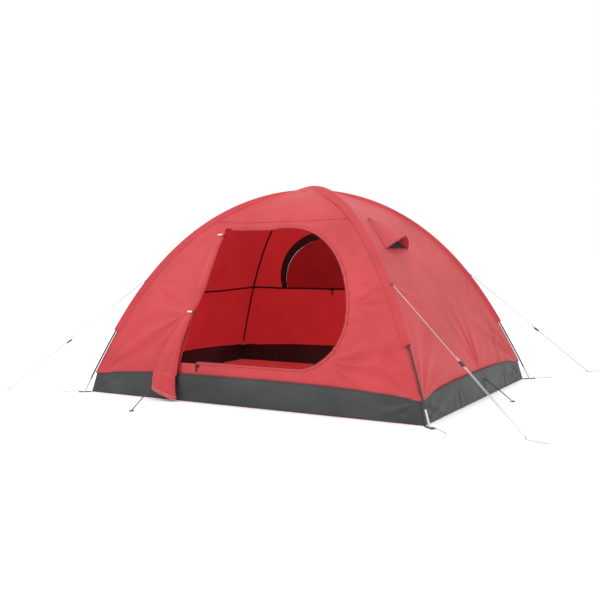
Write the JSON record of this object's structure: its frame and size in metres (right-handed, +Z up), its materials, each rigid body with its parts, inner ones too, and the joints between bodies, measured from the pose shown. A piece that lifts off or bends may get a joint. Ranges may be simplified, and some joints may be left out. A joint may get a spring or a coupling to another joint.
{
  "type": "dome tent",
  "caption": "Dome tent on two crossing bent poles, with a bathtub floor, rolled-back side door, rear window, roof vent and guy lines on runners.",
  "frame": {"origin": "on the ground under the peak, at the centre of the floor", "axes": "+X to the right of the door, +Y to the back, +Z up"},
  "size_m": [3.1798, 2.3589, 1.1446],
  "materials": {
    "red_fabric": "ripstop polyester, satin",
    "cover_fabric": "polyester, satin",
    "grey_fabric": "coated polyester, matte",
    "black_webbing": "webbing and binding tape",
    "pole_grey": "fibreglass, satin",
    "steel": "plated steel",
    "aluminium": "satin",
    "brass": "plated",
    "elastic": "braided elastic cord",
    "black_plastic": "moulded",
    "mesh": "insect mesh",
    "cord": "braided cord",
    "cream_plastic": "moulded"
  },
  "bodies": {
    "tent": {"back_lower_panel": "red_fabric", "back_upper_panel": "red_fabric", "corner_pegs": "steel", "corner_straps": "black_webbing", "door_panel": "red_fabric", "door_zip_tape": "black_webbing", "eyelets": "brass", "floor_sheet": "red_fabric", "front_panel": "red_fabric", "front_top_panel": "red_fabric", "guy_line_back_left": "cord", "guy_line_back_right": "cord", "guy_line_front_left": "cord", "guy_line_front_right": "cord", "guy_pegs": "steel", "guy_tabs": "black_webbing", "left_lower_panel": "red_fabric", "left_upper_panel": "red_fabric", "peak_cap": "red_fabric", "pole_a_section_1": "pole_grey", "pole_a_section_2": "pole_grey", "pole_a_section_3": "pole_grey", "pole_a_section_4": "pole_grey", "pole_a_section_5": "pole_grey", "pole_a_section_6": "pole_grey", "pole_b_section_1": "pole_grey", "pole_b_section_2": "pole_grey", "pole_b_section_3": "pole_grey", "pole_b_section_4": "pole_grey", "pole_b_section_5": "pole_grey", "pole_b_section_6": "pole_grey", "pole_ferrules": "steel", "pole_tips": "aluminium", "right_panel": "red_fabric", "roll_ties": "black_webbing", "shock_cords": "elastic", "sleeve_a": "red_fabric", "sleeve_b": "red_fabric", "tether_front": "elastic", "tether_right": "elastic", "tether_rings": "black_plastic", "tub_back": "grey_fabric", "tub_front": "grey_fabric", "tub_left": "grey_fabric", "tub_right": "grey_fabric", "vent_hood": "red_fabric", "vent_mesh": "mesh", "window_band": "black_webbing"},
    "door_slider": {"door_slider": "black_plastic"},
    "window_slider": {"window_slider": "black_plastic"},
    "door_pull": {"door_pull": "black_plastic"},
    "window_pull": {"window_pull": "black_plastic"},
    "toggle_top": {"toggle_top": "cream_plastic"},
    "toggle_middle": {"toggle_middle": "cream_plastic"},
    "window_cover": {"window_cover": "cover_fabric"},
    "vent_strut": {"vent_strut": "black_plastic"},
    "guy_runner_front_left": {"guy_runner_front_left": "black_plastic"},
    "guy_runner_front_right": {"guy_runner_front_right": "black_plastic"},
    "guy_runner_back_right": {"guy_runner_back_right": "black_plastic"},
    "guy_runner_back_left": {"guy_runner_back_left": "black_plastic"}
  },
  "joints": [
    {"name": "runner_slide_front_left", "type": "slide", "parent": "tent", "child": "guy_runner_front_left", "axis": [-0.7108, -0.3608, -0.6038], "range_m": [-0.02, 0.397]},
    {"name": "runner_slide_front_right", "type": "slide", "parent": "tent", "child": "guy_runner_front_right", "axis": [0.7328, -0.2546, -0.631], "range_m": [-0.02, 0.376]},
    {"name": "runner_slide_back_right", "type": "slide", "parent": "tent", "child": "guy_runner_back_right", "axis": [0.5243, 0.6002, -0.604], "range_m": [-0.02, 0.397]},
    {"name": "runner_slide_back_left", "type": "slide", "parent": "tent", "child": "guy_runner_back_left", "axis": [-0.5602, 0.5524, -0.6172], "range_m": [-0.02, 0.386]},
    {"name": "door_zip", "type": "slide", "parent": "tent", "child": "door_slider", "axis": [1, 0, 0], "range_m": [0, 0.6]},
    {"name": "door_pull_swing", "type": "hinge", "parent": "door_slider", "child": "door_pull", "pos_m": [-0.29, -0.71441, 0.18834], "axis": [-1, 0, 0], "range_deg": [0, 140]},
    {"name": "window_zip", "type": "slide", "parent": "tent", "child": "window_slider", "axis": [1, 0, 0], "range_m": [-0.3, 0.65]},
    {"name": "window_pull_swing", "type": "hinge", "parent": "window_slider", "child": "window_pull", "pos_m": [-0.18, 0.57762, 0.51905], "axis": [-1, 0, 0], "range_deg": [-10, 120]},
    {"name": "window_cover_swing", "type": "hinge", "parent": "tent", "child": "window_cover", "pos_m": [0, 0.38771, 0.8732], "axis": [-1, 0, 0], "range_deg": [0, 50]},
    {"name": "vent_strut_fold", "type": "hinge", "parent": "tent", "child": "vent_strut", "pos_m": [0.61278, -0.137, 0.79305], "axis": [0, 1, 0], "range_deg": [0, 80]},
    {"name": "toggle_turn_top", "type": "hinge", "parent": "tent", "child": "toggle_top", "pos_m": [-0.32643, -0.42752, 0.87823], "axis": [0, -0.638, 0.7701], "range_deg": [-90, 90]},
    {"name": "toggle_turn_middle", "type": "hinge", "parent": "tent", "child": "toggle_middle", "pos_m": [-0.37451, -0.65139, 0.46779], "axis": [0, -0.9126, 0.409], "range_deg": [-90, 90]}
  ]
}
